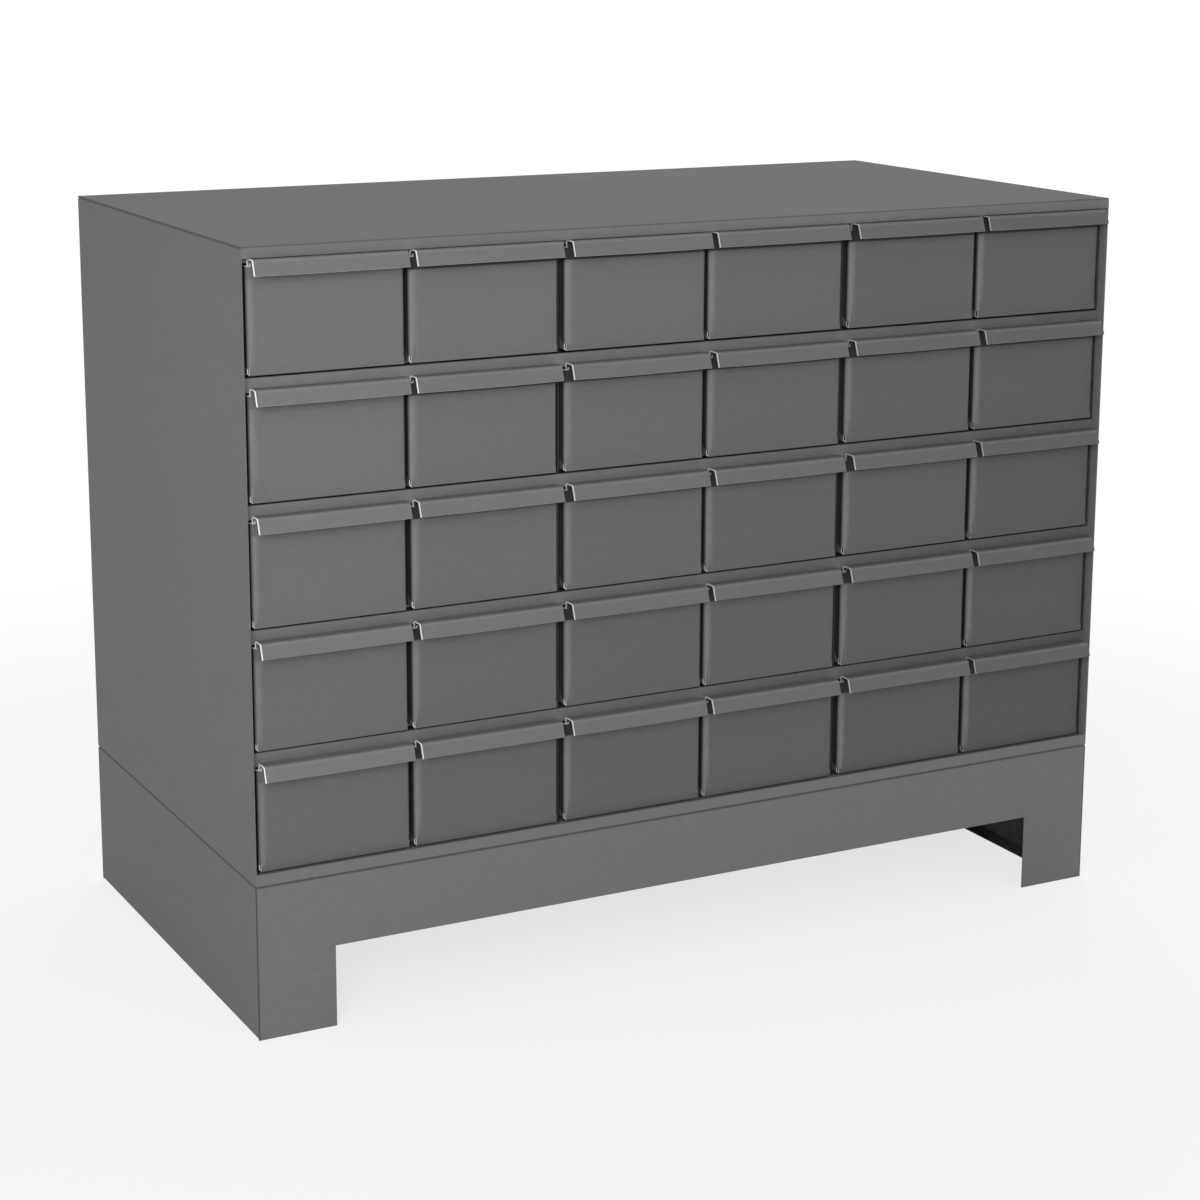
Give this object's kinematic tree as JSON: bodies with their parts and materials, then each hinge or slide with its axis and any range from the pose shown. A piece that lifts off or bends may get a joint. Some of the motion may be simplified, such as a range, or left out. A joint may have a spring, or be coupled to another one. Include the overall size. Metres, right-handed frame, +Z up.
{
  "type": "steel drawer cabinet",
  "caption": "Free-standing steel small-parts cabinet: rows of sliding drawers with folded full-width pulls, in a sheet-steel body on a low base with feet and a toe space.",
  "frame": {"origin": "on the floor, under the middle of the cabinet's whole outline with its pulls", "axes": "+Z up, +Y from the front to the back, +X to the right as seen from the front, along the longest side"},
  "size_m": [0.8668, 0.4489, 0.6762],
  "materials": {
    "cabinet_paint": "satin",
    "drawer_paint": "satin",
    "bare_steel": "mill",
    "zinc_plate": "plated"
  },
  "bodies": {
    "cabinet": {"top_panel": "cabinet_paint", "left_side_panel": "cabinet_paint", "right_side_panel": "cabinet_paint", "back_panel": "cabinet_paint", "bottom_panel": "cabinet_paint", "bottom_rail": "cabinet_paint", "top_rail": "cabinet_paint", "centre_guides": "bare_steel", "side_guides": "bare_steel", "base_front_panel": "cabinet_paint", "base_back_panel": "cabinet_paint", "base_left_panel": "cabinet_paint", "base_right_panel": "cabinet_paint", "base_corner_angles": "cabinet_paint", "base_bolts": "zinc_plate", "base_nuts": "zinc_plate", "shelf_1": "cabinet_paint", "shelf_2": "cabinet_paint", "shelf_3": "cabinet_paint", "shelf_4": "cabinet_paint", "bay_divider_1_1": "cabinet_paint", "bay_divider_1_2": "cabinet_paint", "bay_divider_2_1": "cabinet_paint", "bay_divider_2_2": "cabinet_paint", "bay_divider_3_1": "cabinet_paint", "bay_divider_3_2": "cabinet_paint", "bay_divider_4_1": "cabinet_paint", "bay_divider_4_2": "cabinet_paint", "bay_divider_5_1": "cabinet_paint", "bay_divider_5_2": "cabinet_paint"},
    "drawer_1_1": {"drawer_1_1": "drawer_paint"},
    "drawer_1_2": {"drawer_1_2": "drawer_paint"},
    "drawer_1_3": {"drawer_1_3": "drawer_paint"},
    "drawer_1_4": {"drawer_1_4": "drawer_paint"},
    "drawer_1_5": {"drawer_1_5": "drawer_paint"},
    "drawer_1_6": {"drawer_1_6": "drawer_paint"},
    "drawer_2_1": {"drawer_2_1": "drawer_paint"},
    "drawer_2_2": {"drawer_2_2": "drawer_paint"},
    "drawer_2_3": {"drawer_2_3": "drawer_paint"},
    "drawer_2_4": {"drawer_2_4": "drawer_paint"},
    "drawer_2_5": {"drawer_2_5": "drawer_paint"},
    "drawer_2_6": {"drawer_2_6": "drawer_paint"},
    "drawer_3_1": {"drawer_3_1": "drawer_paint"},
    "drawer_3_2": {"drawer_3_2": "drawer_paint"},
    "drawer_3_3": {"drawer_3_3": "drawer_paint"},
    "drawer_3_4": {"drawer_3_4": "drawer_paint"},
    "drawer_3_5": {"drawer_3_5": "drawer_paint"},
    "drawer_3_6": {"drawer_3_6": "drawer_paint"},
    "drawer_4_1": {"drawer_4_1": "drawer_paint"},
    "drawer_4_2": {"drawer_4_2": "drawer_paint"},
    "drawer_4_3": {"drawer_4_3": "drawer_paint"},
    "drawer_4_4": {"drawer_4_4": "drawer_paint"},
    "drawer_4_5": {"drawer_4_5": "drawer_paint"},
    "drawer_4_6": {"drawer_4_6": "drawer_paint"},
    "drawer_5_1": {"drawer_5_1": "drawer_paint"},
    "drawer_5_2": {"drawer_5_2": "drawer_paint"},
    "drawer_5_3": {"drawer_5_3": "drawer_paint"},
    "drawer_5_4": {"drawer_5_4": "drawer_paint"},
    "drawer_5_5": {"drawer_5_5": "drawer_paint"},
    "drawer_5_6": {"drawer_5_6": "drawer_paint"}
  },
  "joints": [
    {"name": "drawer_1_1_slide", "type": "slide", "parent": "cabinet", "child": "drawer_1_1", "axis": [0, -1, 0], "range_m": [0, 0.3346]},
    {"name": "drawer_1_2_slide", "type": "slide", "parent": "cabinet", "child": "drawer_1_2", "axis": [0, -1, 0], "range_m": [0, 0.3346]},
    {"name": "drawer_1_3_slide", "type": "slide", "parent": "cabinet", "child": "drawer_1_3", "axis": [0, -1, 0], "range_m": [0, 0.3346]},
    {"name": "drawer_1_4_slide", "type": "slide", "parent": "cabinet", "child": "drawer_1_4", "axis": [0, -1, 0], "range_m": [0, 0.3346]},
    {"name": "drawer_1_5_slide", "type": "slide", "parent": "cabinet", "child": "drawer_1_5", "axis": [0, -1, 0], "range_m": [0, 0.3346]},
    {"name": "drawer_1_6_slide", "type": "slide", "parent": "cabinet", "child": "drawer_1_6", "axis": [0, -1, 0], "range_m": [0, 0.3346]},
    {"name": "drawer_2_1_slide", "type": "slide", "parent": "cabinet", "child": "drawer_2_1", "axis": [0, -1, 0], "range_m": [0, 0.3346]},
    {"name": "drawer_2_2_slide", "type": "slide", "parent": "cabinet", "child": "drawer_2_2", "axis": [0, -1, 0], "range_m": [0, 0.3346]},
    {"name": "drawer_2_3_slide", "type": "slide", "parent": "cabinet", "child": "drawer_2_3", "axis": [0, -1, 0], "range_m": [0, 0.3346]},
    {"name": "drawer_2_4_slide", "type": "slide", "parent": "cabinet", "child": "drawer_2_4", "axis": [0, -1, 0], "range_m": [0, 0.3346]},
    {"name": "drawer_2_5_slide", "type": "slide", "parent": "cabinet", "child": "drawer_2_5", "axis": [0, -1, 0], "range_m": [0, 0.3346]},
    {"name": "drawer_2_6_slide", "type": "slide", "parent": "cabinet", "child": "drawer_2_6", "axis": [0, -1, 0], "range_m": [0, 0.3346]},
    {"name": "drawer_3_1_slide", "type": "slide", "parent": "cabinet", "child": "drawer_3_1", "axis": [0, -1, 0], "range_m": [0, 0.3346]},
    {"name": "drawer_3_2_slide", "type": "slide", "parent": "cabinet", "child": "drawer_3_2", "axis": [0, -1, 0], "range_m": [0, 0.3346]},
    {"name": "drawer_3_3_slide", "type": "slide", "parent": "cabinet", "child": "drawer_3_3", "axis": [0, -1, 0], "range_m": [0, 0.3346]},
    {"name": "drawer_3_4_slide", "type": "slide", "parent": "cabinet", "child": "drawer_3_4", "axis": [0, -1, 0], "range_m": [0, 0.3346]},
    {"name": "drawer_3_5_slide", "type": "slide", "parent": "cabinet", "child": "drawer_3_5", "axis": [0, -1, 0], "range_m": [0, 0.3346]},
    {"name": "drawer_3_6_slide", "type": "slide", "parent": "cabinet", "child": "drawer_3_6", "axis": [0, -1, 0], "range_m": [0, 0.3346]},
    {"name": "drawer_4_1_slide", "type": "slide", "parent": "cabinet", "child": "drawer_4_1", "axis": [0, -1, 0], "range_m": [0, 0.3346]},
    {"name": "drawer_4_2_slide", "type": "slide", "parent": "cabinet", "child": "drawer_4_2", "axis": [0, -1, 0], "range_m": [0, 0.3346]},
    {"name": "drawer_4_3_slide", "type": "slide", "parent": "cabinet", "child": "drawer_4_3", "axis": [0, -1, 0], "range_m": [0, 0.3346]},
    {"name": "drawer_4_4_slide", "type": "slide", "parent": "cabinet", "child": "drawer_4_4", "axis": [0, -1, 0], "range_m": [0, 0.3346]},
    {"name": "drawer_4_5_slide", "type": "slide", "parent": "cabinet", "child": "drawer_4_5", "axis": [0, -1, 0], "range_m": [0, 0.3346]},
    {"name": "drawer_4_6_slide", "type": "slide", "parent": "cabinet", "child": "drawer_4_6", "axis": [0, -1, 0], "range_m": [0, 0.3346]},
    {"name": "drawer_5_1_slide", "type": "slide", "parent": "cabinet", "child": "drawer_5_1", "axis": [0, -1, 0], "range_m": [0, 0.3346]},
    {"name": "drawer_5_2_slide", "type": "slide", "parent": "cabinet", "child": "drawer_5_2", "axis": [0, -1, 0], "range_m": [0, 0.3346]},
    {"name": "drawer_5_3_slide", "type": "slide", "parent": "cabinet", "child": "drawer_5_3", "axis": [0, -1, 0], "range_m": [0, 0.3346]},
    {"name": "drawer_5_4_slide", "type": "slide", "parent": "cabinet", "child": "drawer_5_4", "axis": [0, -1, 0], "range_m": [0, 0.3346]},
    {"name": "drawer_5_5_slide", "type": "slide", "parent": "cabinet", "child": "drawer_5_5", "axis": [0, -1, 0], "range_m": [0, 0.3346]},
    {"name": "drawer_5_6_slide", "type": "slide", "parent": "cabinet", "child": "drawer_5_6", "axis": [0, -1, 0], "range_m": [0, 0.3346]}
  ]
}
